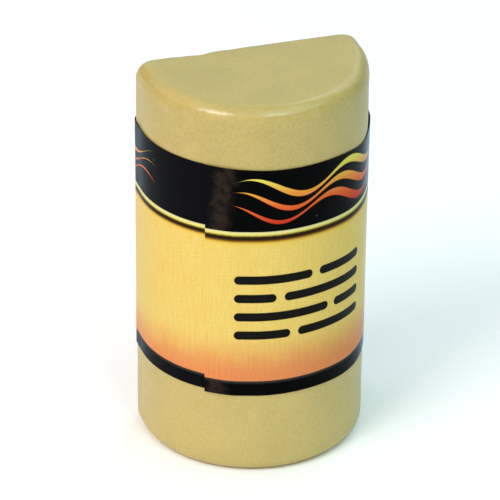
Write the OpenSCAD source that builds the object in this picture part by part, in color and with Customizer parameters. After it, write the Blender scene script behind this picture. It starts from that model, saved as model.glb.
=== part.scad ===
// Furniture repair wax stick: a short cast stick of soft filler wax, round in front and flat behind,
// inside a printed film wrap that is stuck to itself at a lap and slides along the stick.
// Millimetres. +Z is up, the round front faces -Y, the flat back faces +Y.
// The origin is at the middle of the stick's base.

/* [Wax stick] */
// Width of the stick from side to side
stick_w = 28.4; // [22:0.1:32]
// Depth of the stick from the round front to the flat back
stick_d = 18.7; // [17:0.1:26]
// Height of the stick
stick_h = 51; // [46:0.5:80]
// Radius of the two upright edges beside the flat back
corner_r = 2.3; // [1.2:0.1:4]
// Radius of the edge round the top face
top_edge_r = 2.1; // [0.4:0.1:4]
// Radius of the edge round the base
bottom_edge_r = 1.5; // [0.4:0.1:4]

/* [Wrap] */
// Height of the wrap
wrap_h = 31.8; // [18:0.1:36]
// Height of the wrap's lower edge above the base
wrap_base = 11.5; // [4:0.1:16]
// Thickness of the film
film_t = 0.1; // [0.05:0.01:0.2]
// Gap between the film and the wax, so that the wrap slides
slide_gap = 0.2; // [0.06:0.01:0.4]
// Width of the lap, where the wrap's outer end covers its inner end
lap_w = 3.2; // [2:0.1:8]
// Length in which the outer end climbs over the inner end
lap_ramp = 2.2; // [1:0.1:5]
// Angle of the lap's open edge, to the left of the middle of the front
lap_angle = 41; // [10:1:70]
// How far the wrap's two ends miss each other in height
lap_miss = 0.4; // [0:0.05:1]
// Thickness of the adhesive in the lap
glue_t = 0.03; // [0.02:0.01:0.1]
// Margin of bare film at the top and bottom of the adhesive
glue_margin = 0.6; // [0.4:0.1:3]

/* [Print] */
// Thickness of a coat of print
ink_t = 0.02; // [0.01:0.01:0.05]
// Height of the dark band along the top of the wrap
band_h = 8.45; // [4:0.05:12]
// Height of the pale line under the dark band
pinstripe_h = 0.7; // [0.3:0.1:2]
// Height of the dark stripe along the bottom of the wrap
stripe_h = 2.1; // [1:0.1:5]

/* [Hidden] */

// Overrun of every cut
cut_over = 1;
// Facets of the round faces
round_fn = 96;
// Turn in degrees between two stations of the wrap, on the front and on the small corners
front_step_deg = 4;
corner_step_deg = 15;
// Stations in the lap and in its ramp
lap_steps = 4;
ramp_steps = 6;
// Most that an edge round may take of the upright edge's radius
edge_limit_share = 0.95;

front_r = stick_w / 2;
front_y = front_r - stick_d / 2;
back_y = stick_d / 2;
corner_x = front_r - corner_r;
corner_y = back_y - corner_r;
side_l = corner_y - front_y;
top_r = min(top_edge_r, corner_r * edge_limit_share);
bottom_r = min(bottom_edge_r, corner_r * edge_limit_share);

// The wrap starts at its hidden inner end, runs round the left side, the back and the right side,
// and ends on top of its own start. Angles turn about the middle of the round front, 270 is the front.
deg_per_mm = 180 / (PI * front_r);
seam_deg = 270 - lap_angle;
inner_deg = seam_deg + lap_w * deg_per_mm;
ramp_deg = inner_deg + lap_ramp * deg_per_mm;
lap_rise = film_t + ink_t + glue_t;

// One station: a point on the wax outline and the outward direction there
function on_front(a) = [front_r * cos(a), front_y + front_r * sin(a), cos(a), sin(a)];
function on_corner(side, a) = [
    side * corner_x + corner_r * cos(a), corner_y + corner_r * sin(a), cos(a), sin(a)];
function front_run(a, b, n) = [for (i = [0 : n - 1]) on_front(a + (b - a) * i / n)];
function corner_run(side, a, b, n) = [for (i = [0 : n - 1]) on_corner(side, a + (b - a) * i / n)];
function front_steps(a, b) = ceil(abs(b - a) / front_step_deg);
corner_steps = ceil(90 / corner_step_deg);

route = concat(
    front_run(inner_deg, seam_deg, lap_steps),
    front_run(seam_deg, 180, front_steps(seam_deg, 180)),
    [on_front(180)],
    corner_run(-1, 180, 90, corner_steps),
    [on_corner(-1, 90)],
    corner_run(1, 90, 0, corner_steps),
    [on_corner(1, 0)],
    front_run(360, ramp_deg, front_steps(360, ramp_deg)),
    front_run(ramp_deg, inner_deg, ramp_steps),
    front_run(inner_deg, seam_deg, lap_steps),
    [on_front(seam_deg)]);
last = len(route) - 1;

// Length along the route up to station i
steps_l = [for (i = [0 : last - 1]) norm([route[i + 1][0] - route[i][0], route[i + 1][1] - route[i][1]])];
function run_l(i) = i == 0 ? 0 : steps_l[i - 1] + run_l(i - 1);
route_l = run_l(last);

// How far the film is lifted off its path at station i: nothing, then the ramp, then the lap
ramp_first = last - lap_steps - ramp_steps;
function ease(u) = u * u * (3 - 2 * u);
function lift(i) = lap_rise * ease(min(1, max(0, (i - ramp_first) / ramp_steps)));
// How far the wrap has slid down at station i, so that its ends miss each other
function drop(i) = lap_miss * (run_l(i) / route_l - 1 / 2);

// Point at station i, at a distance off from the wax and at height z
function place(i, off, z) = [
    route[i][0] + route[i][2] * (off + lift(i)),
    route[i][1] + route[i][3] * (off + lift(i)),
    z - drop(i)];

// A thin layer from station a to station b, between two distances from the wax and two heights
module layer(a, b, off_in, off_out, z_low, z_high) {
    n = b - a;
    ring = [[off_in, z_low], [off_out, z_low], [off_out, z_high], [off_in, z_high]];
    points = [for (i = [a : b]) for (c = ring) place(i, c[0], c[1])];
    sides = [for (i = [0 : n - 1]) for (k = [0 : 3])
        [4 * i + k, 4 * i + (k + 1) % 4, 4 * (i + 1) + (k + 1) % 4, 4 * (i + 1) + k]];
    start = [3, 2, 1, 0];
    end = [for (k = [0 : 3]) 4 * n + k];
    polyhedron(points, concat(sides, [start, end]));
}

film_in = slide_gap;
film_out = film_in + film_t;
ink_out = film_out + ink_t;
wrap_top = wrap_base + wrap_h;
stripe_top = wrap_base + stripe_h;
pinstripe_top = wrap_top - band_h;
field_top = pinstripe_top - pinstripe_h;

module print_coat(z_low, z_high) {
    layer(0, last, film_out, ink_out, z_low, z_high);
}

// Half of the stick's upright section, from the middle out to reach, with both edges rounded
module edge_cut(r) {
    difference() {
        square(r + cut_over);
        circle(r, $fn = round_fn);
    }
}

module half_section(reach) {
    difference() {
        square([reach, stick_h]);
        translate([reach - top_r, stick_h - top_r]) edge_cut(top_r);
        translate([reach - bottom_r, bottom_r]) mirror([0, 1]) edge_cut(bottom_r);
    }
}

module wax_stick() {
    color("#d0be78") union() {
        translate([0, front_y, 0]) rotate(180)
            rotate_extrude(angle = 180, $fn = round_fn) half_section(front_r);
        translate([0, corner_y, 0]) rotate([90, 0, 0]) linear_extrude(side_l) {
            half_section(front_r);
            mirror([1, 0]) half_section(front_r);
        }
        for (side = [0, 1]) mirror([side, 0, 0]) translate([corner_x, corner_y, 0])
            rotate_extrude(angle = 90, $fn = round_fn) half_section(corner_r);
        translate([-corner_x, corner_y, 0]) rotate([90, 0, 90]) linear_extrude(2 * corner_x)
            half_section(corner_r);
    }
}

module wrap_film() {
    color("#f4efe0") layer(0, last, film_in, film_out, wrap_base, wrap_top);
}

module lap_adhesive() {
    color("#e8e2c8")
        layer(0, lap_steps, ink_out, ink_out + glue_t, wrap_base + glue_margin, wrap_top - glue_margin);
}

module top_band_print() {
    color("#16140f") print_coat(pinstripe_top, wrap_top);
}

module pinstripe_print() {
    color("#e6dc7a") print_coat(field_top, pinstripe_top);
}

module field_print() {
    color("#f4cf64") print_coat(stripe_top, field_top);
}

module bottom_stripe_print() {
    color("#16140f") print_coat(wrap_base, stripe_top);
}

wax_stick();
wrap_film();
lap_adhesive();
top_band_print();
pinstripe_print();
field_print();
bottom_stripe_print();
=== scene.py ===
"""Visual model of a furniture repair wax stick: the wax casting, its printed film wrap and a small studio."""
import logging
import math
from collections.abc import Callable
from dataclasses import dataclass, field
from enum import Enum

import bmesh
import bpy
from mathutils import Matrix, Vector, noise


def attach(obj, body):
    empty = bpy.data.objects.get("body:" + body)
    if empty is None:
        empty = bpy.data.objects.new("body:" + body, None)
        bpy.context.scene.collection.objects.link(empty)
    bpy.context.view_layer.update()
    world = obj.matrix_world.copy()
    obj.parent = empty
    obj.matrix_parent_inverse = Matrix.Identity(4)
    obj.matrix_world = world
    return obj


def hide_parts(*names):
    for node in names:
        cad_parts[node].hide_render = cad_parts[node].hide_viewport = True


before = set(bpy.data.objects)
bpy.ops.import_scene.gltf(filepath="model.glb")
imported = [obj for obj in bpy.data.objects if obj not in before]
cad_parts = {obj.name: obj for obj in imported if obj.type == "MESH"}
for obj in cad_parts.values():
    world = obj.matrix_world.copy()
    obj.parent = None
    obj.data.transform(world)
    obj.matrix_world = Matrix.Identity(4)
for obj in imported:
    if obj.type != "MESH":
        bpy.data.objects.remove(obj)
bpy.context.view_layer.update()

LOG = logging.getLogger("wax_stick")
MM = 0.001
UV_NAME = "print_place"
UV_MM = 100.0
RIM_NAME = "top_rim"
TOUCH_MM = 0.001
SHARP_DEG = 38.0

Span = tuple[float, float]
Point = tuple[float, float]
Triple = tuple[float, float, float]
Colour = Triple
Stops = tuple[tuple[float, Colour], ...]
Socket = bpy.types.NodeSocket
Feed = Socket | float | tuple[float, ...]
Edge = Callable[[float], float]
Material = bpy.types.Material
Shape = bmesh.types.BMesh
Thing = bpy.types.Object
Vert = bmesh.types.BMVert


class Piece(Enum):
    """The pieces of the visual model: own name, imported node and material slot."""

    WAX = ("wax_casting", "wax_stick", "wax")
    FILM = ("wrap_sheet", "wrap_film", "film")
    BEAD = ("lap_bead", "lap_adhesive", "adhesive")
    BAND = ("band_coat", "top_band_print", "dark_print")
    PINSTRIPE = ("pinstripe_coat", "pinstripe_print", "pale_print")
    FIELD = ("field_coat", "field_print", "yellow_print")
    STRIPE = ("stripe_coat", "bottom_stripe_print", "dark_print")

    def __init__(self, label: str, node: str, slot: str) -> None:
        """Names the piece's object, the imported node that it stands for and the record's material slot."""
        self.label, self.node, self.slot = label, node, slot


class Body(Enum):
    """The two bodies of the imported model."""

    STICK = "stick"
    WRAP = "wrap"


def smooth_share(value: float, low: float, high: float) -> float:
    """Eases from 0 at low to 1 at high.

    Args:
        value: The number to place between the two limits.
        low: Where the result leaves 0.
        high: Where the result reaches 1.

    Returns:
        The eased share, from 0 to 1.
    """
    share = min(1.0, max(0.0, (value - low) / (high - low)))
    return share * share * (3.0 - 2.0 * share)


@dataclass(frozen=True)
class Noise:
    """Soft noise: spots per unit of its coordinates, octaves, and the range of its values if not 0 to 1."""

    scale: float
    detail: float = 2.0
    span: Span | None = None


@dataclass(frozen=True)
class Specks:
    """Round specks: mean pitch of their places, radius, and share of places that have one."""

    pitch: float
    radius: float
    share: float


@dataclass(frozen=True)
class Hump:
    """A bell-shaped hump on a line: its middle, its width and its height."""

    middle: float
    width: float
    height: float = 1.0

    def at(self, place: float) -> float:
        """Gives the height at a place on the line."""
        return self.height * math.exp(-((place - self.middle) / self.width) ** 2)


class Net:
    """The nodes of one material, with short calls that add and join them."""

    def __init__(self, name: str) -> None:
        """Makes the material with a Principled shader on its output."""
        self.material = bpy.data.materials.new(name)
        self.material.use_nodes = True
        tree = self.material.node_tree
        tree.nodes.clear()
        self.nodes, self.links = tree.nodes, tree.links
        self.shader = self.add("ShaderNodeBsdfPrincipled")
        output = self.add("ShaderNodeOutputMaterial")
        self.links.new(self.shader.outputs[0], output.inputs[0])

    def add(self, kind: str, **settings: object) -> bpy.types.Node:
        """Adds a node.

        Args:
            kind: Blender's name of the node type.
            **settings: Properties to set on the node.

        Returns:
            The new node.
        """
        node = self.nodes.new(kind)
        for name, value in settings.items():
            setattr(node, name, value)
        return node

    def feed(self, socket: Socket, value: Feed) -> None:
        """Joins a socket to another socket, or sets it to a constant.

        Args:
            socket: The input to fill.
            value: The output to join, a number or a colour.
        """
        if isinstance(value, Socket):
            self.links.new(value, socket)
        elif isinstance(value, tuple) and socket.type == "RGBA":
            socket.default_value = (*value, 1.0)
        else:
            socket.default_value = value

    def surface(self, **inputs: Feed) -> None:
        """Fills the shader's inputs, named in lower case with underscores."""
        names = {s.name.lower().replace(" ", "_"): s for s in self.shader.inputs}
        for name, value in inputs.items():
            self.feed(names[name], value)

    def object_mm(self, stretch: Triple = (1.0, 1.0, 1.0)) -> Socket:
        """Gives object coordinates in millimetres.

        Args:
            stretch: Factor on each axis.

        Returns:
            The vector output.
        """
        mapping = self.add("ShaderNodeMapping")
        mapping.inputs["Scale"].default_value = tuple(s / MM for s in stretch)
        self.feed(mapping.inputs["Vector"], self.add("ShaderNodeTexCoord").outputs["Object"])
        return mapping.outputs[0]

    def print_mm(self) -> tuple[Socket, Socket]:
        """Gives the place on the wrap in millimetres.

        Returns:
            The distance along the wrap, and the height above its lower edge.
        """
        split = self.add("ShaderNodeSeparateXYZ")
        self.feed(split.inputs[0], self.add("ShaderNodeUVMap", uv_map=UV_NAME).outputs[0])
        return self.times(split.outputs[0], UV_MM), self.times(split.outputs[1], UV_MM)

    def join(self, x: Feed, y: Feed) -> Socket:
        """Makes a flat vector of two numbers."""
        node = self.add("ShaderNodeCombineXYZ")
        for socket, value in zip(node.inputs, (x, y)):
            self.feed(socket, value)
        return node.outputs[0]

    def math(self, operation: str, *values: Feed) -> Socket:
        """Works out a number.

        Args:
            operation: Blender's name of the operation.
            *values: One to three operands.

        Returns:
            The result's output.
        """
        node = self.add("ShaderNodeMath", operation=operation)
        for socket, value in zip(node.inputs, values):
            self.feed(socket, value)
        return node.outputs[0]

    def times(self, first: Feed, *others: Feed) -> Socket:
        """Multiplies numbers, from the first to the last."""
        for other in others:
            first = self.math("MULTIPLY", first, other)
        return first

    def plus(self, first: Feed, *others: Feed) -> Socket:
        """Adds numbers up, from the first to the last."""
        for other in others:
            first = self.math("ADD", first, other)
        return first

    def minus(self, first: Feed, second: Feed) -> Socket:
        """Takes the second number from the first."""
        return self.math("SUBTRACT", first, second)

    def step(self, value: Feed, low: float, high: float) -> Socket:
        """Eases from 0 at low to 1 at high.

        Args:
            value: The number to place.
            low: Where the result leaves 0.
            high: Where the result reaches 1.

        Returns:
            The share's output.
        """
        node = self.add("ShaderNodeMapRange", interpolation_type="SMOOTHSTEP")
        for socket, number in zip(node.inputs, (value, low, high, 0.0, 1.0)):
            self.feed(socket, number)
        return node.outputs[0]

    def fade(self, value: Feed, low: float, high: float) -> Socket:
        """Eases from 1 at low to 0 at high."""
        return self.minus(1.0, self.step(value, low, high))

    def scale(self, value: Feed, low: float, high: float) -> Socket:
        """Stretches a share over a range, from low at 0 to high at 1."""
        return self.math("MULTIPLY_ADD", value, high - low, low)

    def mix(self, share: Feed, first: Feed, second: Feed, most: float = 1.0) -> Socket:
        """Mixes two colours.

        Args:
            share: Share of the second colour.
            first: Colour at 0.
            second: Colour at 1.
            most: Factor on the share.

        Returns:
            The colour output.
        """
        share = share if most == 1.0 else self.times(share, most)
        node = self.add("ShaderNodeMix", data_type="RGBA")
        for index, value in ((0, share), (6, first), (7, second)):
            self.feed(node.inputs[index], value)
        return node.outputs[2]

    def ramp(self, share: Feed, stops: Stops) -> Socket:
        """Runs through a row of colours.

        Args:
            share: Place in the row, from 0 to 1.
            stops: The places and their colours.

        Returns:
            The colour output.
        """
        node = self.add("ShaderNodeValToRGB")
        elements = node.color_ramp.elements
        while len(elements) < len(stops):
            elements.new(0.5)
        for element, (position, tint) in zip(elements, stops):
            element.position, element.color = position, (*tint, 1.0)
        self.feed(node.inputs[0], share)
        return node.outputs[0]

    def grain(self, place: Feed, kind: Noise) -> Socket:
        """Adds soft noise.

        Args:
            place: Coordinates.
            kind: Its scale, detail and range.

        Returns:
            The noise's output.
        """
        node = self.add("ShaderNodeTexNoise")
        for name, value in (("Vector", place), ("Scale", kind.scale), ("Detail", kind.detail)):
            self.feed(node.inputs[name], value)
        return self.scale(node.outputs[0], *kind.span) if kind.span else node.outputs[0]

    def specks(self, place: Feed, kind: Specks) -> Socket:
        """Scatters small round specks.

        Args:
            place: Coordinates.
            kind: How many and how large they are.

        Returns:
            A mask, 1 on a speck.
        """
        node = self.add("ShaderNodeTexVoronoi")
        self.feed(node.inputs["Vector"], place)
        self.feed(node.inputs["Scale"], 1.0 / kind.pitch)
        split = self.add("ShaderNodeSeparateColor")
        self.feed(split.inputs[0], node.outputs["Color"])
        chosen = self.math("LESS_THAN", split.outputs[0], kind.share)
        size = self.scale(split.outputs[1], low=0.5, high=1.0)
        reach = self.math("DIVIDE", self.times(node.outputs["Distance"], kind.pitch / kind.radius), size)
        return self.times(chosen, self.fade(reach, low=0.6, high=1.0))

    def bump(self, height: Feed, depth: float, normal: Feed | None = None) -> Socket:
        """Turns a height into fine relief.

        Args:
            height: The height, from 0 to 1.
            depth: Depth of the relief in millimetres.
            normal: Relief under this one.

        Returns:
            The normal output.
        """
        node = self.add("ShaderNodeBump")
        node.inputs["Distance"].default_value = depth * MM
        self.feed(node.inputs["Height"], height)
        if normal is not None:
            self.feed(node.inputs["Normal"], normal)
        return node.outputs[0]


@dataclass(frozen=True)
class WaxFinish:
    """Soft satin wax, pale tan yellow, with mottling, casting marks, specks, a shinier top rim with a warm
    tint that is partly painted glow, and painted bounce light low down.
    """

    light: Colour = (0.476, 0.381, 0.135)
    dark: Colour = (0.406, 0.326, 0.111)
    # Warm rim tint, partly painted glow.
    warm: Colour = (0.474, 0.346, 0.098)
    # Painted bounce light: lighter tones for the wax near its lower end.
    painted_bounce_light: Colour = (0.536, 0.431, 0.153)
    low_dark: Colour = (0.466, 0.375, 0.132)
    pale_speck: Colour = (0.80, 0.77, 0.62)
    dark_speck: Colour = (0.22, 0.17, 0.09)
    cloud: Noise = Noise(0.16, 3.0, (0.0, 0.45))
    fleck: Noise = Noise(3.0, 3.0, (0.0, 0.55))
    foot_span: Span = (6.0, 32.0)
    lit_left_span: Span = (-12.5, -2.0)
    rim_tint_and_glow: Noise = Noise(0.35, 3.0)
    lit_side_shares: Span = (0.4, 0.95)
    specks: Specks = Specks(3.1, 0.11, 0.12)
    pits: Specks = Specks(2.7, 0.10, 0.09)
    streaks: Noise = Noise(1.0, 3.0)
    skin: Noise = Noise(5.0, 4.0)
    lumps: Noise = Noise(1.2, 3.0)
    roughness: Noise = Noise(0.8, 4.0, (0.36, 0.48))
    right_span: Span = (4.0, 8.5)
    right_polish: float = 0.3
    polish: float = 0.25
    gloss: float = 0.36
    rim_coat: float = 0.55
    rim_coat_roughness: float = 0.20
    sheen: float = 0.24
    sheen_roughness: float = 0.22
    sheen_tint: Colour = (0.30, 0.70, 1.0)
    glow: float = 0.1
    glow_reach: Colour = (1.0, 0.6, 0.25)
    glow_mm: float = 0.1

    def material(self) -> Material:
        """Builds the material."""
        net = Net("soft_wax")
        place = net.object_mm()
        tone = net.plus(net.grain(place, self.cloud), net.grain(place, self.fleck))
        tone = net.step(tone, low=0.34, high=0.66)
        colour = net.mix(tone, self.dark, self.light)
        split = net.add("ShaderNodeSeparateXYZ")
        net.feed(split.inputs[0], place)
        # Painted bounce light: the wax is made lighter towards its lower end, standing in for light thrown up
        # from the floor.
        foot = net.fade(split.outputs[2], *self.foot_span)
        low = net.mix(tone, self.low_dark, self.painted_bounce_light)
        colour = net.mix(foot, colour, low, most=0.85)
        rim = net.add("ShaderNodeAttribute", attribute_name=RIM_NAME).outputs["Fac"]
        # Warm tint along the top rim: partly the wax's own colour, partly painted glow, made stronger on the
        # lit left side.
        left = net.fade(split.outputs[0], *self.lit_left_span)
        rim_tint_and_glow = net.step(net.grain(place, self.rim_tint_and_glow), low=0.25, high=0.65)
        rim_tint_and_glow = net.times(rim, rim_tint_and_glow, net.scale(left, *self.lit_side_shares))
        colour = net.mix(rim_tint_and_glow, colour, self.warm)
        colour = net.mix(net.specks(place, self.specks), colour, self.pale_speck)
        pits = net.specks(net.object_mm(stretch=(1.0, 1.0, 0.93)), self.pits)
        colour = net.mix(pits, colour, self.dark_speck, most=0.7)
        streaks = net.grain(net.object_mm(stretch=(2.6, 2.6, 0.12)), self.streaks)
        relief = net.bump(streaks, depth=0.006)
        relief = net.bump(net.grain(place, self.skin), depth=0.015, normal=relief)
        lumps = net.times(net.grain(place, self.lumps), rim)
        relief = net.bump(lumps, depth=0.05, normal=relief)
        relief = net.bump(net.minus(1.0, pits), depth=0.012, normal=relief)
        rough = net.grain(net.object_mm(stretch=(1.0, 1.0, 1.6)), self.roughness)
        right = net.step(split.outputs[0], *self.right_span)
        polish = net.times(rim, net.scale(right, 1.0, self.right_polish))
        rough = net.minus(rough, net.times(polish, self.polish))
        coat = net.times(polish, self.rim_coat)
        net.surface(base_color=colour, roughness=rough, normal=relief, specular_ior_level=self.gloss,
                    coat_weight=coat, coat_roughness=self.rim_coat_roughness, coat_normal=relief,
                    sheen_weight=self.sheen, sheen_roughness=self.sheen_roughness,
                    sheen_tint=self.sheen_tint, subsurface_weight=self.glow,
                    subsurface_radius=self.glow_reach, subsurface_scale=self.glow_mm * MM)
        return net.material


@dataclass(frozen=True)
class FilmFinish:
    """White label film, tinted by the ink where the dark print covers it."""

    band_low: float
    stripe_high: float
    bare: Colour = (0.78, 0.74, 0.62)
    fibrous: Colour = (0.6, 0.56, 0.45)
    inked: Colour = (0.02, 0.018, 0.016)
    edge: float = 0.05
    fibre: Noise = Noise(6.0, 3.0)
    roughness: Span = (0.38, 0.5)
    gloss: float = 0.2

    def material(self) -> Material:
        """Builds the material."""
        net = Net("label_film")
        _, height = net.print_mm()
        upper = net.step(height, self.band_low - self.edge, self.band_low + self.edge)
        lower = net.fade(height, self.stripe_high - self.edge, self.stripe_high + self.edge)
        fibre = net.grain(net.object_mm(), self.fibre)
        bare = net.mix(fibre, self.bare, self.fibrous, most=0.12)
        colour = net.mix(net.math("MAXIMUM", upper, lower), bare, self.inked)
        net.surface(base_color=colour, roughness=net.scale(fibre, *self.roughness),
                    normal=net.bump(fibre, depth=0.006), specular_ior_level=self.gloss)
        return net.material


@dataclass(frozen=True)
class BeadFinish:
    """Clear tacky adhesive, slightly yellow."""

    thin: Colour = (0.74, 0.69, 0.50)
    thick: Colour = (0.6, 0.53, 0.34)
    blotch: Noise = Noise(1.4, 3.0)
    roughness: Span = (0.15, 0.35)
    gloss: float = 0.4

    def material(self) -> Material:
        """Builds the material."""
        net = Net("tacky_adhesive")
        blotch = net.grain(net.object_mm(), self.blotch)
        colour = net.mix(blotch, self.thin, self.thick, most=0.3)
        net.surface(base_color=colour, roughness=net.scale(blotch, *self.roughness),
                    normal=net.bump(blotch, depth=0.01), specular_ior_level=self.gloss)
        return net.material


@dataclass(frozen=True, kw_only=True)
class PrintFinish:
    """What all coats of print share: a semi-gloss skin with a bluish sheen. Lengths in millimetres."""

    gloss: float = 0.03
    sheen: float = 0.33
    sheen_roughness: float = 0.27
    sheen_tint: Colour = (0.47, 0.76, 1.0)
    skin_mm: float = 0.003

    def dress(self, net: Net, colour: Feed, rough: Feed, skin: Feed) -> Material:
        """Fills the shader.

        Args:
            net: The material's nodes.
            colour: Colour of the print.
            rough: Its roughness.
            skin: Height of its relief.

        Returns:
            The material.
        """
        net.surface(base_color=colour, roughness=rough, normal=net.bump(skin, self.skin_mm),
                    specular_ior_level=self.gloss, sheen_weight=self.sheen,
                    sheen_roughness=self.sheen_roughness, sheen_tint=self.sheen_tint)
        return net.material


@dataclass(frozen=True, kw_only=True)
class DarkPrint(PrintFinish):
    """Semi-gloss black print with dust, a painted warm reflection over the lap, painted sheen near both ends
    of the wrap, and a flowing ornament where asked.
    """

    name: str
    route_l: float
    ornament_low: float | None = None
    rim_high: float | None = None
    black: Colour = (0.0008, 0.0009, 0.0011)
    # Painted sheen colour for the film's ends.
    painted_sheen: Colour = (0.0027, 0.0027, 0.0042)
    # Painted reflection colour over the lap.
    painted_lap_reflection: Colour = (0.022, 0.0145, 0.0115)
    dust: Colour = (0.085, 0.09, 0.10)
    grey: Colour = (0.030, 0.029, 0.026)
    gloss: float = 0.02
    sheen: float = 0.84
    sheen_roughness: float = 0.22
    sheen_tint: Colour = (0.47, 0.73, 1.0)
    roughness: Noise = Noise(0.7, 3.0, (0.24, 0.36))
    skin: Noise = Noise(9.0)
    lap_edge_noise: Noise = Noise(0.8, 3.0, (-1.4, 1.4))
    lean: float = 0.13
    lap_reflection_start: Span = (-0.1, 1.2)
    lap_reflection_end: Span = (1.5, 3.4)
    lap_reflection_patches: Noise = Noise(1.1, 5.0)
    lap_reflection_shares: Span = (0.35, 1.2)
    sheen_start_span: Span = (9.0, 20.0)
    sheen_end_span: Span = (0.8, 4.0)
    specks: Specks = Specks(2.3, 0.17, 0.26)
    rim_noise: Noise = Noise(5.0, 2.0, (-0.06, 0.06))
    rim_span: Span = (0.12, 0.5)
    repeat: float = 40.0
    window_start: float = 10.4
    window_l: float = 30.4
    wave_l: float = 13.4
    wave_mm: float = 1.25
    wave_lag: float = 0.7
    strokes: int = 3
    stroke_low: float = 2.45
    stroke_gap: float = 1.75
    stroke_mm: float = 0.66
    stroke_trim: float = 0.06
    pulse: Span = (0.35, 0.75)
    flame_l: float = 8.45
    flame: Stops = (
        (0.12, (0.47, 0.030, 0.014)), (0.40, (0.66, 0.12, 0.028)),
        (0.62, (0.70, 0.30, 0.045)), (0.84, (0.66, 0.60, 0.10)))

    def _strokes(self, net: Net, along: Feed, height: Feed) -> Socket:
        """Draws flowing strokes that taper at both ends.

        Args:
            net: The material's nodes.
            along: Distance along the wrap.
            height: Height above the ornament's lower limit.

        Returns:
            A mask, 1 on a stroke.
        """
        run = net.math("MODULO", net.minus(along, self.window_start - self.repeat), self.repeat)
        inside = net.math("DIVIDE", run, self.window_l)
        taper = net.math("SINE", net.times(net.math("MINIMUM", inside, 1.0), math.pi))
        mask: Feed = 0.0
        for index in range(self.strokes):
            turn = net.math("MULTIPLY_ADD", run, math.tau / self.wave_l, self.wave_lag * index)
            swing = net.times(net.math("SINE", turn), self.wave_mm)
            middle = net.plus(swing, self.stroke_low + self.stroke_gap * index)
            pulse = net.math("MULTIPLY_ADD", net.math("COSINE", turn), *self.pulse)
            half = net.math("MULTIPLY_ADD", net.times(taper, pulse), self.stroke_mm, -self.stroke_trim)
            off = net.math("ABSOLUTE", net.minus(height, middle))
            mask = net.math("MAXIMUM", mask, net.step(net.minus(half, off), low=-0.03, high=0.05))
        return mask

    def material(self) -> Material:
        """Builds the material."""
        net = Net(self.name)
        along, height = net.print_mm()
        place = net.join(along, height)
        to_end = net.minus(self.route_l, along)
        ragged = net.plus(to_end, net.grain(place, self.lap_edge_noise))
        if self.ornament_low is not None:
            above = net.minus(height, self.ornament_low)
            ragged = net.minus(ragged, net.times(above, self.lean))
        # Painted reflection: over the lap the black turns warm brown in patches, standing in for a lamp
        # reflected in the raised outer end.
        lap_reflection_patches = net.step(net.grain(place, self.lap_reflection_patches), low=0.30, high=0.66)
        lap = net.times(net.step(ragged, *self.lap_reflection_start), net.fade(ragged, *self.lap_reflection_end),
                        net.scale(lap_reflection_patches, *self.lap_reflection_shares))
        # Painted sheen: the black turns bluish grey near the wrap's start, on the left side, and near its
        # open end, standing in for light caught by the film there.
        start = net.fade(along, *self.sheen_start_span)
        painted_sheen_share = net.math("MAXIMUM", start, net.fade(to_end, *self.sheen_end_span))
        colour = net.mix(lap, net.mix(painted_sheen_share, self.black, self.painted_sheen), self.painted_lap_reflection)
        colour = net.mix(net.specks(place, self.specks), colour, self.dust, most=0.8)
        if self.rim_high is not None:
            under = net.plus(net.minus(self.rim_high, height), net.grain(place, self.rim_noise))
            colour = net.mix(net.fade(under, *self.rim_span), colour, self.grey)
        if self.ornament_low is not None:
            flame = net.ramp(net.math("DIVIDE", above, self.flame_l), self.flame)
            colour = net.mix(self._strokes(net, along, above), colour, flame)
        return self.dress(net, colour, net.grain(place, self.roughness), net.grain(place, self.skin))


@dataclass(frozen=True, kw_only=True)
class PalePrint(PrintFinish):
    """Semi-gloss pale lime line that turns ochre along its lower edge."""

    low: float
    high: float
    roughness: Span = (0.26, 0.38)
    skin_mm: float = 0.002
    dots: Noise = Noise(4.0)
    stops: Stops = (
        (0.0, (0.024, 0.012, 0.0035)), (0.12, (0.055, 0.031, 0.006)), (0.26, (0.27, 0.205, 0.024)),
        (0.42, (0.60, 0.53, 0.105)), (0.58, (0.68, 0.63, 0.21)), (0.78, (0.68, 0.65, 0.30)),
        (1.0, (0.46, 0.445, 0.232)))

    def material(self) -> Material:
        """Builds the material."""
        net = Net("pale_line_print")
        along, height = net.print_mm()
        dots = net.grain(net.join(along, height), self.dots)
        share = net.math("DIVIDE", net.minus(height, self.low), self.high - self.low)
        share = net.plus(share, net.scale(dots, low=-0.08, high=0.08))
        rough = net.scale(dots, *self.roughness)
        return self.dress(net, net.ramp(share, self.stops), rough, dots)


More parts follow.
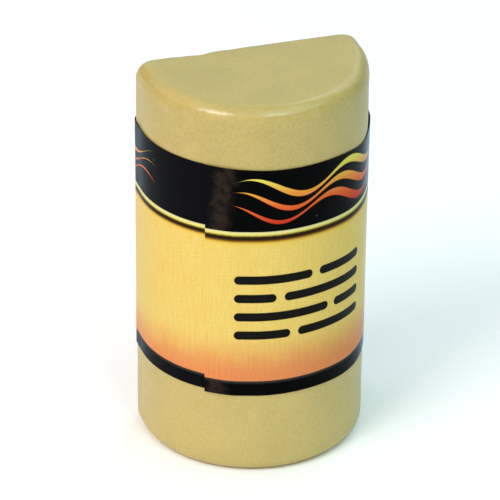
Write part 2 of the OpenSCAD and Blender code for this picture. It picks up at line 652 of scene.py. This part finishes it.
@dataclass(frozen=True, kw_only=True)
class FieldPrint(PrintFinish):
    """Semi-gloss yellow print that turns orange low down, with a soft dark line on top and rows of bars."""

    low: float
    high: float
    yellow: Colour = (0.702, 0.562, 0.172)
    deep: Colour = (0.666, 0.454, 0.102)
    speck: Colour = (0.34, 0.19, 0.05)
    orange: Colour = (0.675, 0.262, 0.090)
    red_orange: Colour = (0.622, 0.188, 0.076)
    ink: Colour = (0.006, 0.006, 0.005)
    roughness: Span = (0.28, 0.4)
    skin: Noise = Noise(8.0)
    cloud: Noise = Noise(0.3, 3.0)
    dots: Noise = Noise(5.0, 3.0)
    streaks: Noise = Noise(1.0)
    streak_stretch: Span = (3.2, 0.3)
    tone_shares: Triple = (0.1, 0.6, 0.3)
    specks: Specks = Specks(2.3, 0.10, 0.12)
    cloud_mm: Span = (-1.0, 1.0)
    dot_mm: Span = (-1.2, 1.2)
    tilt: Span = (-0.012, 0.5)
    lift_mm: float = 0.9
    lift_start: Span = (8.5, 13.0)
    lift_end: Span = (15.0, 24.0)
    glow_span: Span = (0.1, 6.8)
    early_span: Span = (10.0, 24.0)
    early_stretch: float = 1.2
    shade_span: Span = (0.85, 1.8)
    shade_l: float = 1.65
    shade: Stops = (
        (0.0, (0.018, 0.009, 0.003)), (0.10, (0.014, 0.0075, 0.003)), (0.17, (0.030, 0.012, 0.004)),
        (0.24, (0.085, 0.033, 0.006)), (0.31, (0.20, 0.093, 0.011)), (0.38, (0.42, 0.235, 0.026)),
        (0.46, (0.63, 0.42, 0.060)), (0.60, (0.685, 0.492, 0.098)), (0.85, (0.69, 0.51, 0.12)))
    repeat: float = 40.0
    figure_along: float = 70.4
    figure_height: float = 12.6
    bar_mm: float = 1.2
    bars: tuple[Triple, ...] = (
        (3.9, -8.6, -2.3), (3.9, -0.1, 8.6), (1.3, -8.6, 2.4), (1.3, 4.6, 8.6),
        (-1.3, -8.6, -4.7), (-1.3, -2.5, 8.6), (-3.9, -8.6, 0.6), (-3.9, 2.8, 8.6))

    def _figure(self, net: Net, along: Feed, height: Feed) -> Socket:
        """Draws four rows of round-ended bars whose gaps are staggered.

        Args:
            net: The material's nodes.
            along: Distance along the wrap.
            height: Height above the wrap's lower edge.

        Returns:
            A mask, 1 on a bar.
        """
        # Half a repeat puts the figure in the middle of its repeat, and two more keep the sum above zero
        shift = self.repeat * 2.5 - self.figure_along
        run = net.math("MODULO", net.plus(along, shift), self.repeat)
        x = net.minus(run, self.repeat / 2)
        y = net.minus(height, self.figure_height)
        mask: Feed = 0.0
        for level, first, last in self.bars:
            half, middle = (last - first) / 2, (first + last) / 2
            past = net.minus(net.math("ABSOLUTE", net.minus(x, middle)), half)
            past = net.math("MAXIMUM", past, 0.0)
            off = net.minus(y, level)
            reach = net.math("SQRT", net.math("MULTIPLY_ADD", off, off, net.times(past, past)))
            edge = net.minus(self.bar_mm / 2, reach)
            mask = net.math("MAXIMUM", mask, net.step(edge, low=-0.04, high=0.05))
        return mask

    def material(self) -> Material:
        """Builds the material."""
        net = Net("yellow_field_print")
        along, height = net.print_mm()
        place = net.join(along, height)
        cloud = net.grain(place, self.cloud)
        dots = net.grain(place, self.dots)
        drawn = (net.times(way, by) for way, by in zip((along, height), self.streak_stretch))
        streaks = net.grain(net.join(*drawn), self.streaks)
        tones = [net.scale(part, 0.0, by) for part, by in zip((cloud, dots, streaks), self.tone_shares)]
        tone = net.step(net.plus(*tones), low=0.36, high=0.66)
        colour = net.mix(tone, self.yellow, self.deep)
        colour = net.mix(net.specks(place, self.specks), colour, self.speck, most=0.6)
        tilt = net.math("MULTIPLY_ADD", along, *self.tilt)
        lift = net.minus(net.step(along, *self.lift_start), net.step(along, *self.lift_end))
        rise = net.plus(net.minus(height, self.low), net.scale(cloud, *self.cloud_mm),
                        net.scale(dots, *self.dot_mm), tilt, net.times(lift, self.lift_mm))
        warm = net.fade(rise, *self.glow_span)
        colour = net.mix(warm, colour, net.mix(tone, self.orange, self.red_orange))
        early = net.fade(along, *self.early_span)
        below = net.times(net.minus(self.high, height), net.scale(early, 1.0, self.early_stretch))
        shade = net.fade(below, *self.shade_span)
        colour = net.mix(shade, colour, net.ramp(net.math("DIVIDE", below, self.shade_l), self.shade))
        colour = net.mix(self._figure(net, along, height), colour, self.ink)
        rough = net.scale(cloud, *self.roughness)
        return self.dress(net, colour, rough, net.grain(place, self.skin))


@dataclass(frozen=True)
class Arc:
    """One curved leg of the wrap's way round the stick, run from one angle to another."""

    centre: Point
    radius: float
    start_deg: float
    end_deg: float

    @property
    def length(self) -> float:
        """Length of the leg."""
        return math.radians(abs(self.end_deg - self.start_deg)) * self.radius

    def at(self, distance: float) -> tuple[Vector, Vector]:
        """Finds a place on the leg.

        Args:
            distance: Distance from the leg's start.

        Returns:
            The point on the wax and the outward direction there.
        """
        angle = math.radians(self.start_deg + (self.end_deg - self.start_deg) * distance / self.length)
        out = Vector((math.cos(angle), math.sin(angle), 0.0))
        return Vector((*self.centre, 0.0)) + out * self.radius, out


@dataclass(frozen=True)
class Line:
    """One straight leg of the wrap's way round the stick."""

    start: Point
    end: Point
    out: Point

    @property
    def length(self) -> float:
        """Length of the leg."""
        return math.dist(self.start, self.end)

    def at(self, distance: float) -> tuple[Vector, Vector]:
        """Finds a place on the leg, as Arc.at does."""
        start, end = Vector((*self.start, 0.0)), Vector((*self.end, 0.0))
        return start.lerp(end, distance / self.length), Vector((*self.out, 0.0))


@dataclass(frozen=True)
class Section:
    """The stick's section in millimetres: round in front, flat behind, with two rounded edges."""

    front_r: float = 14.2
    depth: float = 18.7
    corner_r: float = 2.3

    @property
    def front_y(self) -> float:
        """Middle of the round front."""
        return self.front_r - self.depth / 2

    @property
    def back_y(self) -> float:
        """Place of the flat back."""
        return self.depth / 2

    @property
    def left(self) -> Point:
        """Middle of the left rounded edge."""
        return self.corner_r - self.front_r, self.back_y - self.corner_r

    @property
    def right(self) -> Point:
        """Middle of the right rounded edge."""
        return self.front_r - self.corner_r, self.back_y - self.corner_r


def add_object(name: str, data: bpy.types.ID) -> Thing:
    """Puts a new object with its data into the scene."""
    thing = bpy.data.objects.new(name, data)
    bpy.context.scene.collection.objects.link(thing)
    return thing


def add_mesh(name: str, bm: Shape, material: Material) -> Thing:
    """Turns a finished shape, which is used up, into an object in the scene."""
    mesh = bpy.data.meshes.new(name)
    bm.to_mesh(mesh)
    bm.free()
    mesh.materials.append(material)
    return add_object(name, mesh)


class SubAssembly:
    """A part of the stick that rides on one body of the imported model."""

    body: Body

    def put(self, bm: Shape, piece: Piece, material: Material) -> Thing:
        """Turns a finished shape in millimetres into a piece of the model.

        Args:
            bm: The shape, which is used up.
            piece: Which piece it is.
            material: Its material.

        Returns:
            The piece's object.
        """
        sharp = math.radians(SHARP_DEG)
        for face in bm.faces:
            face.smooth = True
        for edge in bm.edges:
            edge.smooth = edge.calc_face_angle(0.0) < sharp
        bmesh.ops.scale(bm, vec=(MM, MM, MM), verts=bm.verts)
        thing = add_mesh(piece.label, bm, material)
        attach(thing, self.body.value)
        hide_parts(piece.node)
        LOG.info("%s: %d faces on %s", piece.label, len(thing.data.polygons), self.body.value)
        return thing


@dataclass
class WaxStick(SubAssembly):
    """The cast stick of wax. Sizes in millimetres, slopes in degrees."""

    section: Section
    height: float = 51.0
    top_r: float = 2.1
    top_segments: int = 12
    base_r: float = 1.5
    base_segments: int = 8
    front_steps: int = 96
    side_steps: int = 4
    corner_steps: int = 8
    back_steps: int = 40
    wall_rows: int = 58
    end_pitch: float = 1.1
    swell_mm: float = 0.03
    swell_per_mm: float = 0.14
    skin_mm: float = 0.012
    skin_per_mm: float = 0.5
    skin_row: Triple = (7.0, 3.0, 5.0)
    rim_rise: Span = (18.0, 42.0)
    rim_fall: Span = (62.0, 89.0)
    dents: tuple[Hump, ...] = (Hump(-5.8, 1.1, 0.20), Hump(-7.9, 1.0, 0.09), Hump(-1.6, 0.9, 0.03))
    dent_reach: Span = (4.0, 1.6)
    corner_mm: float = 0.25
    corner_x: Span = (12.2, 13.8)
    corner_y: Span = (-2.0, 5.0)
    body: Body = Body.STICK

    def _outline(self, bm: Shape) -> bmesh.types.BMFace:
        """Draws the section as one face in the base plane.

        Args:
            bm: The shape to draw in.

        Returns:
            The face.
        """
        s = self.section

        def turn(vert: Vert, x: float, y: float, degrees: float, steps: int) -> Vert:
            """Runs an arc on from a vertex and gives its last vertex."""
            spun = bmesh.ops.spin(bm, geom=[vert], cent=(x, y, 0.0), axis=(0.0, 0.0, 1.0),
                                  angle=math.radians(degrees), steps=steps, use_duplicate=False)
            return next(g for g in spun["geom_last"] if isinstance(g, Vert))

        def straight(vert: Vert, x: float, y: float, steps: int) -> Vert:
            """Runs a straight line on from a vertex and gives its last vertex."""
            start, end = vert.co.copy(), Vector((x, y, 0.0))
            for step in range(1, steps + 1):
                vert = bmesh.ops.extrude_vert_indiv(bm, verts=[vert])["verts"][0]
                vert.co = start.lerp(end, step / steps)
            return vert

        vert = bm.verts.new((s.front_r, s.front_y, 0.0))
        vert = turn(vert, 0.0, s.front_y, -180, self.front_steps)
        vert = straight(vert, -s.front_r, s.left[1], self.side_steps)
        vert = turn(vert, *s.left, -90, self.corner_steps)
        vert = straight(vert, s.right[0], s.back_y, self.back_steps)
        vert = turn(vert, *s.right, -90, self.corner_steps)
        straight(vert, s.front_r, s.front_y, self.side_steps)
        bmesh.ops.remove_doubles(bm, verts=bm.verts, dist=TOUCH_MM)
        made = bmesh.ops.contextual_create(bm, geom=bm.edges[:])
        return made["faces"][0]

    def _round_end(self, bm: Shape, z: float, radius: float, segments: int) -> None:
        """Rounds the edge round one end.

        Args:
            bm: The stick.
            z: Height of the end.
            radius: Radius of the round.
            segments: Faces across the round.
        """
        edges = [e for e in bm.edges if all(abs(v.co.z - z) < TOUCH_MM for v in e.verts)]
        bmesh.ops.bevel(bm, geom=edges, offset=radius, offset_type="OFFSET", affect="EDGES",
                        segments=segments, profile=0.5, material=-1, clamp_overlap=False)

    def _grid_end(self, bm: Shape, z: float) -> None:
        """Cuts one flat end into a grid, so that it can be uneven.

        Args:
            bm: The stick.
            z: Height of the end.
        """
        s = self.section
        for axis, reach in ((0, s.front_r), (1, s.depth / 2)):
            direction = Vector((1.0 - axis, axis, 0.0))
            count = int(reach / self.end_pitch)
            for step in range(-count, count + 1):
                faces = [f for f in bm.faces if all(abs(v.co.z - z) < TOUCH_MM for v in f.verts)]
                geom = {g for f in faces for g in (f, *f.edges, *f.verts)}
                bmesh.ops.bisect_plane(bm, geom=list(geom), dist=0.02,
                                       plane_co=direction * step * self.end_pitch, plane_no=direction)

    def _weather(self, bm: Shape) -> None:
        """Makes the cast surface slightly uneven, always inwards, and marks the top rim.

        Args:
            bm: The stick.
        """
        s = self.section
        bm.normal_update()
        rim = bm.verts.layers.float.new(RIM_NAME)
        moves = []
        for vert in bm.verts:
            place, out = vert.co.copy(), vert.normal.copy()
            swell = 0.5 + 0.5 * noise.noise(place * self.swell_per_mm)
            skin = 0.5 + 0.5 * noise.noise(place * self.skin_per_mm + Vector(self.skin_row))
            depth = self.swell_mm * swell + self.skin_mm * skin
            if place.z > self.height - self.top_r - 10 * TOUCH_MM:
                slope = math.degrees(math.asin(max(-1.0, min(1.0, out.z))))
                vert[rim] = smooth_share(slope, *self.rim_rise) * (1 - smooth_share(slope, *self.rim_fall))
                behind = smooth_share(place.y, *(s.back_y - reach for reach in self.dent_reach))
                depth += behind * sum(dent.at(place.x) for dent in self.dents)
                beside = smooth_share(place.x, *self.corner_x) * smooth_share(place.y, *self.corner_y)
                depth -= self.corner_mm * beside * math.sin(math.radians(2 * max(0.0, slope)))
            if place.z < TOUCH_MM:
                depth = 0.0
            moves.append((vert, out * depth))
        for vert, move in moves:
            vert.co -= move
            vert.co.z = max(0.0, vert.co.z)

    def build(self) -> Thing:
        """Builds and dresses the stick."""
        bm = bmesh.new()
        grown = bmesh.ops.extrude_face_region(bm, geom=[self._outline(bm)])
        raised = [g for g in grown["geom"] if isinstance(g, Vert)]
        bmesh.ops.translate(bm, vec=(0.0, 0.0, self.height), verts=raised)
        bmesh.ops.recalc_face_normals(bm, faces=bm.faces)
        self._round_end(bm, self.height, self.top_r, self.top_segments)
        self._round_end(bm, 0.0, self.base_r, self.base_segments)
        walls = [e for e in bm.edges if abs(e.verts[0].co.z - e.verts[1].co.z) > self.height / 2]
        bmesh.ops.subdivide_edges(bm, edges=walls, cuts=self.wall_rows, use_grid_fill=True)
        for z in (self.height, 0.0):
            self._grid_end(bm, z)
        bmesh.ops.recalc_face_normals(bm, faces=bm.faces)
        self._weather(bm)
        return self.put(bm, Piece.WAX, WaxFinish().material())


@dataclass
class Wrap(SubAssembly):
    """The printed film round the stick, lapped and stuck on itself. Sizes in millimetres."""

    section: Section
    base: float = 11.55
    height: float = 31.58
    film_t: float = 0.07
    ink_t: float = 0.02
    glue_t: float = 0.03
    glue_margin: float = 0.6
    gap: float = 0.03
    lap_w: float = 3.2
    lap_ramp: float = 2.2
    lap_deg: float = 41.0
    miss: float = 0.4
    hair: float = 0.002
    bead_start: float = 0.3
    bead_end: float = 0.2
    flare: float = 0.38
    flare_l: float = 8.5
    hidden: float = 0.3
    hidden_start: float = 0.6
    hidden_past: float = 0.8
    dip: Hump = Hump(58.4, 4.2, 0.8)
    sag: Hump = Hump(61.5, 5.5)
    sag_mm: float = 0.40
    sag_growth: float = 0.04
    proud_right: Hump = Hump(54.4, 1.8, 0.17)
    proud_left: Hump = Hump(15.0, 4.0, 0.06)
    proud_span: Span = (0.75, 1.0)
    ripple_mm: float = 0.008
    ripple_per_mm: Span = (0.3, 0.12)
    ripple_row: float = 2.0
    upper_mm: float = 0.07
    upper_per_mm: float = 0.11
    upper_row: Span = (8.0, 0.0)
    lower_mm: float = 0.05
    lower_per_mm: float = 0.13
    lower_row: Span = (3.0, 6.0)
    stripe_high: float = 2.1
    line_low: float = 22.48
    band_low: float = 23.26
    column_mm: float = 0.36
    row_mm: float = 0.7
    body: Body = Body.WRAP
    legs: list[Arc | Line] = field(init=False)
    length: float = field(init=False)

    def __post_init__(self) -> None:
        """Lays out the wrap's way round the stick, from its hidden inner end to its open outer end."""
        s = self.section
        seam = 270.0 - self.lap_deg
        inner = seam + math.degrees(self.lap_w / s.front_r)
        front = (0.0, s.front_y)
        self.legs = [
            Arc(front, s.front_r, inner, 180.0),
            Line((-s.front_r, s.front_y), (-s.front_r, s.left[1]), (-1.0, 0.0)),
            Arc(s.left, s.corner_r, 180.0, 90.0),
            Line((s.left[0], s.back_y), (s.right[0], s.back_y), (0.0, 1.0)),
            Arc(s.right, s.corner_r, 90.0, 0.0),
            Line((s.front_r, s.right[1]), (s.front_r, s.front_y), (1.0, 0.0)),
            Arc(front, s.front_r, 360.0, seam)]
        self.length = sum(leg.length for leg in self.legs)

    def _at(self, along: float) -> tuple[Vector, Vector]:
        """Finds a place on the wax under the wrap.

        Args:
            along: Distance from the wrap's hidden inner end.

        Returns:
            The point on the wax and the outward direction there.
        """
        for leg in self.legs[:-1]:
            if along <= leg.length:
                return leg.at(along)
            along -= leg.length
        return self.legs[-1].at(min(along, self.legs[-1].length))

    @property
    def over(self) -> float:
        """How far the outer end is lifted where it lies on the inner end."""
        return self.film_t + self.ink_t + self.glue_t

    def _stand_off(self, along: float, height: float) -> float:
        """Distance of the film's inner face from the wax, more at the lap and where the wrap stands proud."""
        share = height / self.height
        right = self.proud_right.at(along) * share * share
        left = self.proud_left.at(along) * smooth_share(share, *self.proud_span)
        lap = self.over * (1.0 - smooth_share(self.length - along, self.lap_w, self.lap_w + self.lap_ramp))
        x, y = (way * by for way, by in zip((along, height), self.ripple_per_mm))
        ripple = self.ripple_mm * noise.noise(Vector((x, y, self.ripple_row)))
        return self.gap + right + left + lap + ripple

    def _sag(self, along: float, height: float) -> float:
        """How far the film hangs low on the right of the front, where it isn't quite level."""
        return self.sag.at(along) * (self.sag_mm + self.sag_growth * height / self.height)

    def _upper(self, along: float) -> float:
        """Height of the wrap's upper cut edge, flared at the open end and short at the hidden end."""
        flare = self.flare * (1.0 - smooth_share(self.length - along, 0.0, self.flare_l))
        hidden = self.hidden * (1.0 - smooth_share(along, self.hidden_start, self.lap_w + self.hidden_past))
        wave = self.upper_mm * noise.noise(Vector((along * self.upper_per_mm, *self.upper_row)))
        return self.height + flare - hidden - self.dip.at(along) + wave

    def _lower(self, along: float) -> float:
        """Height of the wrap's lower cut edge, which is short at the hidden end too."""
        hidden = self.hidden * (1.0 - smooth_share(along, self.hidden_start, self.lap_w))
        return hidden + self.lower_mm * noise.noise(Vector((along * self.lower_per_mm, *self.lower_row)))

    def _sheet(self, span: Span, low: Edge, high: Edge, off: float, thickness: float) -> Shape:
        """Bends a flat strip round the stick and gives it its thickness.

        Args:
            span: Where the strip starts and ends along the wrap.
            low: Height of the strip's lower edge at a place along the wrap.
            high: Height of its upper edge there.
            off: Distance of its outer face from the film's inner face.
            thickness: Its thickness.

        Returns:
            The shape, with the flat place of each point as its UV map.
        """
        bm = bmesh.new()
        columns = round((span[1] - span[0]) / self.column_mm)
        rows = max(2, round((high(span[1]) - low(span[1])) / self.row_mm))
        bmesh.ops.create_grid(bm, x_segments=columns, y_segments=rows, size=0.5)
        flat_x, flat_y = (bm.verts.layers.float.new(n) for n in ("flat_x", "flat_y"))
        for vert in bm.verts:
            along = span[0] + (vert.co.x + 0.5) * (span[1] - span[0])
            height = low(along) + (vert.co.y + 0.5) * (high(along) - low(along))
            vert[flat_x], vert[flat_y] = along, height
            point, out = self._at(along)
            slip = self.miss * (along / self.length - 0.5)
            vert.co = point + out * (off + self._stand_off(along, height))
            vert.co.z = self.base + height - slip - self._sag(along, height)
        bmesh.ops.reverse_faces(bm, faces=bm.faces)
        bm.normal_update()
        bmesh.ops.solidify(bm, geom=bm.faces[:], thickness=thickness)
        uv = bm.loops.layers.uv.new(UV_NAME)
        for face in bm.faces:
            for loop in face.loops:
                loop[uv].uv = (loop.vert[flat_x] / UV_MM, loop.vert[flat_y] / UV_MM)
        for layer in (flat_y, flat_x):
            bm.verts.layers.float.remove(layer)
        return bm

    def _coat(self, piece: Piece, low: Edge, high: Edge, material: Material) -> Thing:
        """Builds one coat of print on the film.

        Args:
            piece: Which coat it is.
            low: Height of its lower edge at a place along the wrap.
            high: Height of its upper edge there.
            material: Its material.

        Returns:
            The coat's object.
        """
        off = self.film_t + self.ink_t
        bm = self._sheet((0.0, self.length), low, high, off, self.ink_t - self.hair)
        return self.put(bm, piece, material)

    def build(self) -> list[Thing]:
        """Builds and dresses the film, its adhesive and its four coats of print."""
        def level(height: float) -> Edge:
            """Gives an edge that keeps one height along the wrap."""
            return lambda along: height

        film = self._sheet((0.0, self.length), self._lower, self._upper, self.film_t, self.film_t)
        bead = self._sheet((self.bead_start, self.lap_w - self.bead_end), level(self.glue_margin),
                           level(self.height - self.glue_margin), self.over - self.hair,
                           self.glue_t - 2 * self.hair)
        film_finish = FilmFinish(band_low=self.band_low, stripe_high=self.stripe_high)
        band = DarkPrint(name="dark_band_print", ornament_low=self.band_low, route_l=self.length)
        line = PalePrint(low=self.line_low, high=self.band_low)
        yellow = FieldPrint(low=self.stripe_high, high=self.line_low)
        stripe = DarkPrint(name="dark_stripe_print", rim_high=self.stripe_high, route_l=self.length)
        lowest, line_low, band_low = (level(h) for h in (self.stripe_high, self.line_low, self.band_low))
        return [
            self.put(film, Piece.FILM, film_finish.material()),
            self.put(bead, Piece.BEAD, BeadFinish().material()),
            self._coat(Piece.BAND, band_low, self._upper, band.material()),
            self._coat(Piece.PINSTRIPE, line_low, band_low, line.material()),
            self._coat(Piece.FIELD, lowest, line_low, yellow.material()),
            self._coat(Piece.STRIPE, self._lower, lowest, stripe.material())]


@dataclass(frozen=True)
class Softbox:
    """A square lamp that faces the stick."""

    name: str
    azimuth: float
    elevation: float
    distance: float
    size: float
    power: float
    colour: Colour

    def build(self, aim: Vector) -> None:
        """Builds the lamp.

        Args:
            aim: The point that it faces.
        """
        lamp = bpy.data.lights.new(self.name, "AREA")
        lamp.shape, lamp.size = "SQUARE", self.size
        lamp.energy, lamp.color = self.power, self.colour
        thing = add_object(self.name, lamp)
        a, e = math.radians(self.azimuth), math.radians(self.elevation)
        away = Vector((math.cos(a) * math.cos(e), math.sin(a) * math.cos(e), math.sin(e)))
        thing.location = aim + away * self.distance
        thing.rotation_euler = away.to_track_quat("Z", "Y").to_euler()
        LOG.info("lamp %s", self.name)


@dataclass(frozen=True)
class Studio:
    """A pale floor, soft lamps and the camera at the photograph's angle."""

    azimuth: float = -18.06
    elevation: float = 29.95
    roll: float = 0.585
    distance: float = 0.490906
    lens: float = 282.42
    aim: Triple = (-0.0001613, 0.00485, 0.023931)
    clip: Span = (0.01, 20.0)
    lamp_aim: Triple = (0.0, 0.0, 0.03)
    floor_r: float = 6.0
    floor: Colour = (0.94, 0.945, 0.95)
    floor_cloud: Colour = (0.90, 0.905, 0.91)
    floor_noise: Noise = Noise(3.0)
    sky: Colour = (0.20, 0.21, 0.22)
    lamps: tuple[Softbox, ...] = (
        Softbox("key_lamp", 208.5, 46.0, 0.70, 0.28, 2.24, (1.0, 0.98, 0.98)),
        Softbox("warm_lamp", 226.5, 20.0, 0.70, 0.60, 2.06, (1.0, 0.67, 0.42)),
        Softbox("over_lamp", 230.0, 72.0, 0.80, 1.00, 1.12, (1.0, 0.99, 0.97)),
        Softbox("front_lamp", 279.0, 48.0, 0.70, 0.23, 0.84, (0.50, 0.96, 1.0)),
        Softbox("right_lamp", 320.0, 60.0, 0.80, 0.60, 1.56, (0.52, 0.90, 0.90)),
        Softbox("cool_lamp", 40.0, 40.0, 0.80, 0.50, 1.42, (0.84, 0.95, 1.0)),
        Softbox("left_lamp", 150.0, 50.0, 0.70, 0.60, 0.83, (1.0, 0.88, 0.92)),
        Softbox("back_lamp", 75.0, 35.0, 0.90, 0.90, 1.29, (0.87, 0.91, 1.0)))

    def _floor(self) -> None:
        """Builds the floor."""
        bm = bmesh.new()
        bmesh.ops.create_circle(bm, cap_ends=True, segments=64, radius=self.floor_r)
        net = Net("pale_floor")
        cloud = net.grain(net.add("ShaderNodeTexCoord").outputs["Object"], self.floor_noise)
        colour = net.mix(cloud, self.floor, self.floor_cloud, most=0.05)
        net.surface(base_color=colour, roughness=0.9, specular_ior_level=0.0)
        add_mesh("floor", bm, net.material)

    def _camera(self) -> None:
        """Builds the camera at the photograph's angle."""
        a, e, r = (math.radians(x) for x in (self.azimuth, self.elevation, self.roll))
        back = Vector((math.sin(a) * math.cos(e), -math.cos(a) * math.cos(e), math.sin(e)))
        right = Vector((0.0, 0.0, 1.0)).cross(back).normalized()
        up = back.cross(right)
        centre = Vector((0.0, self.aim[1], self.aim[2])) + right * self.aim[0]
        right, up = right * math.cos(r) + up * math.sin(r), up * math.cos(r) - right * math.sin(r)
        data = bpy.data.cameras.new("camera")
        data.sensor_width, data.lens = 36.0, self.lens
        data.clip_start, data.clip_end = self.clip
        thing = add_object("camera", data)
        turn = Matrix((right, up, back)).transposed().to_4x4()
        thing.matrix_world = Matrix.Translation(centre + back * self.distance) @ turn
        bpy.context.scene.camera = thing

    def build(self) -> None:
        """Builds the camera, the floor, the sky and the lamps."""
        self._camera()
        self._floor()
        world = bpy.data.worlds.new("studio")
        world.use_nodes = True
        world.node_tree.nodes["Background"].inputs["Color"].default_value = (*self.sky, 1.0)
        scene = bpy.context.scene
        scene.world = world
        scene.view_settings.view_transform = "Standard"
        for lamp in self.lamps:
            lamp.build(Vector(self.lamp_aim))


def main() -> None:
    """Builds the studio, the stick and its wrap."""
    logging.basicConfig(level=logging.INFO, format="%(name)s: %(message)s")
    Studio().build()
    section = Section()
    WaxStick(section).build()
    Wrap(section).build()


if __name__ == "__main__":
    main()
